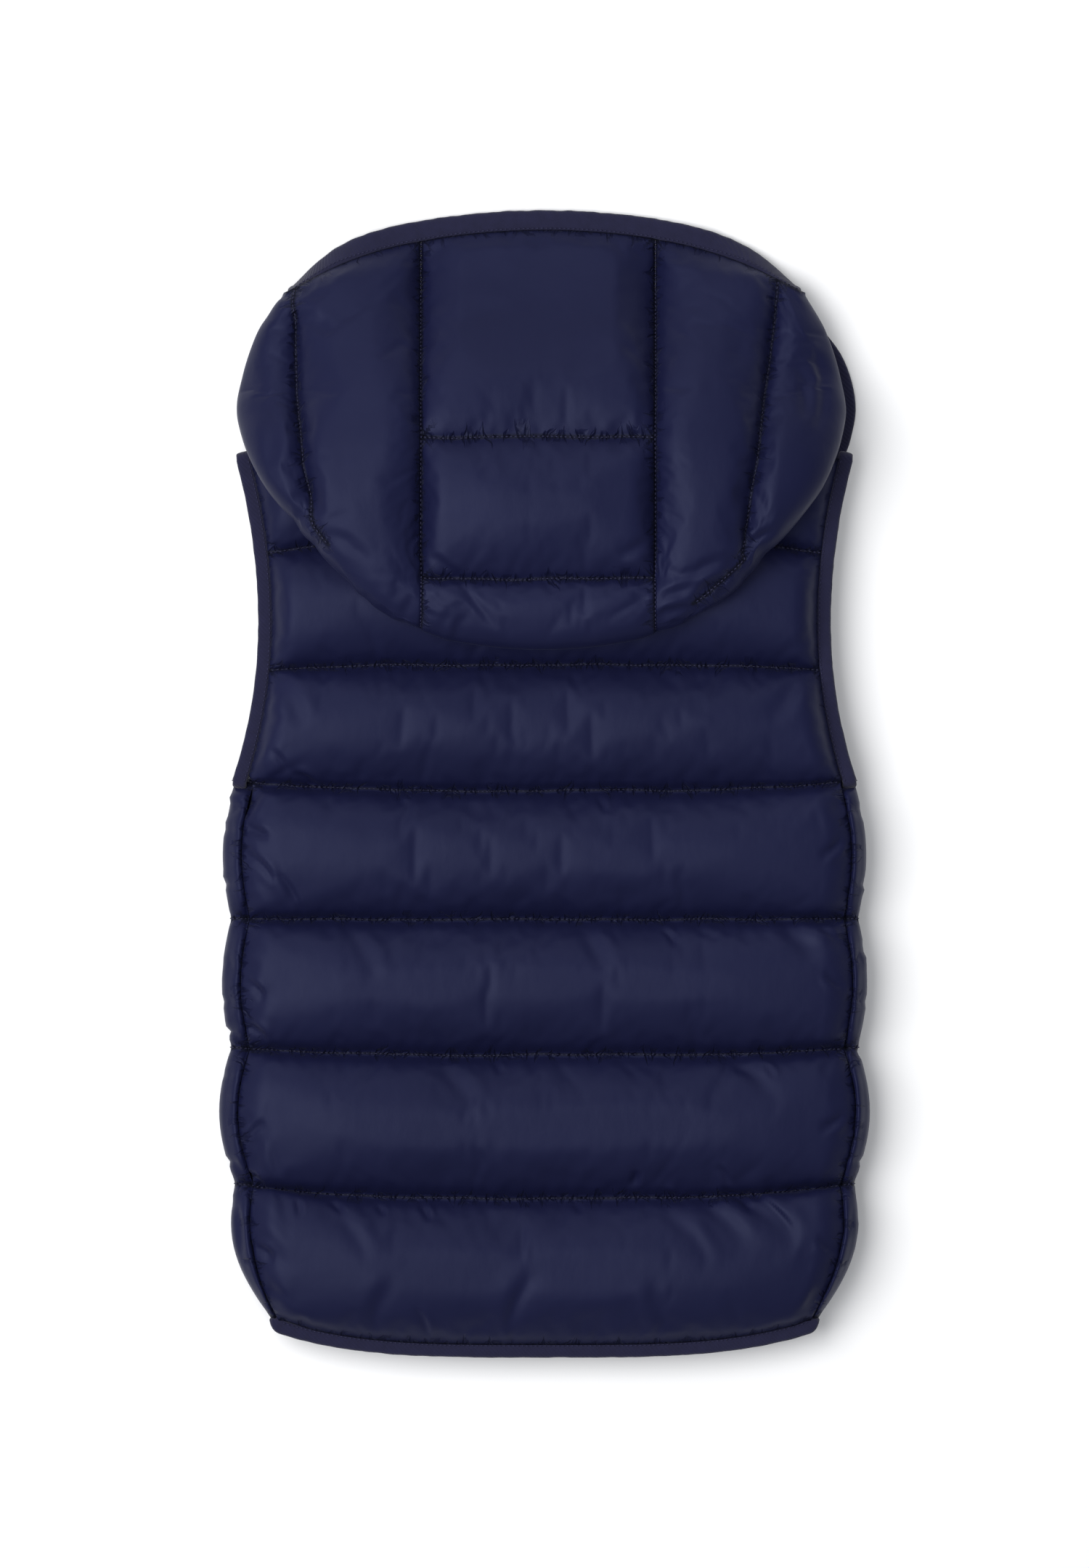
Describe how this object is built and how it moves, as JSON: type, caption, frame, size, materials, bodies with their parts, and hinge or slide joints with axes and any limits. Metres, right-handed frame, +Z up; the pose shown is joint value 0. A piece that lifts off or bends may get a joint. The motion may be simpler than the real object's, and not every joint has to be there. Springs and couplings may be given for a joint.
{
  "type": "hooded quilted vest",
  "caption": "Child's hooded quilted vest, closed and laid flat face down with the hood folded down onto the back.",
  "frame": {"origin": "on the surface that the vest lies on, under the middle of its outline", "axes": "+X to the right as seen from above, +Y from the hem towards the hood, +Z up from the surface"},
  "size_m": [0.3586, 0.6319, 0.0702],
  "materials": {
    "quilted_nylon": "satin",
    "elastic_binding": "matte",
    "zip_tape": "matte",
    "zip_plastic": "satin"
  },
  "bodies": {
    "vest": {"back_panel": "quilted_nylon", "front_panel_left": "quilted_nylon", "front_panel_right": "quilted_nylon", "armhole_binding_left": "elastic_binding", "armhole_binding_right": "elastic_binding", "hood_side_left": "quilted_nylon", "hood_side_right": "quilted_nylon", "hood_middle": "quilted_nylon", "hood_folded_layers": "quilted_nylon", "hem_binding": "elastic_binding", "hood_binding": "elastic_binding", "zip_tape_left": "zip_tape", "zip_tape_right": "zip_tape", "zip_teeth": "zip_plastic", "zip_slider": "zip_plastic"},
    "pull_tab": {"zip_pull": "zip_plastic"}
  },
  "joints": [
    {"name": "pull_tab_hinge", "type": "hinge", "parent": "vest", "child": "pull_tab", "pos_m": [0, 0.1246, 0.0138], "axis": [1, 0, 0], "range_deg": [-15, 145]}
  ]
}
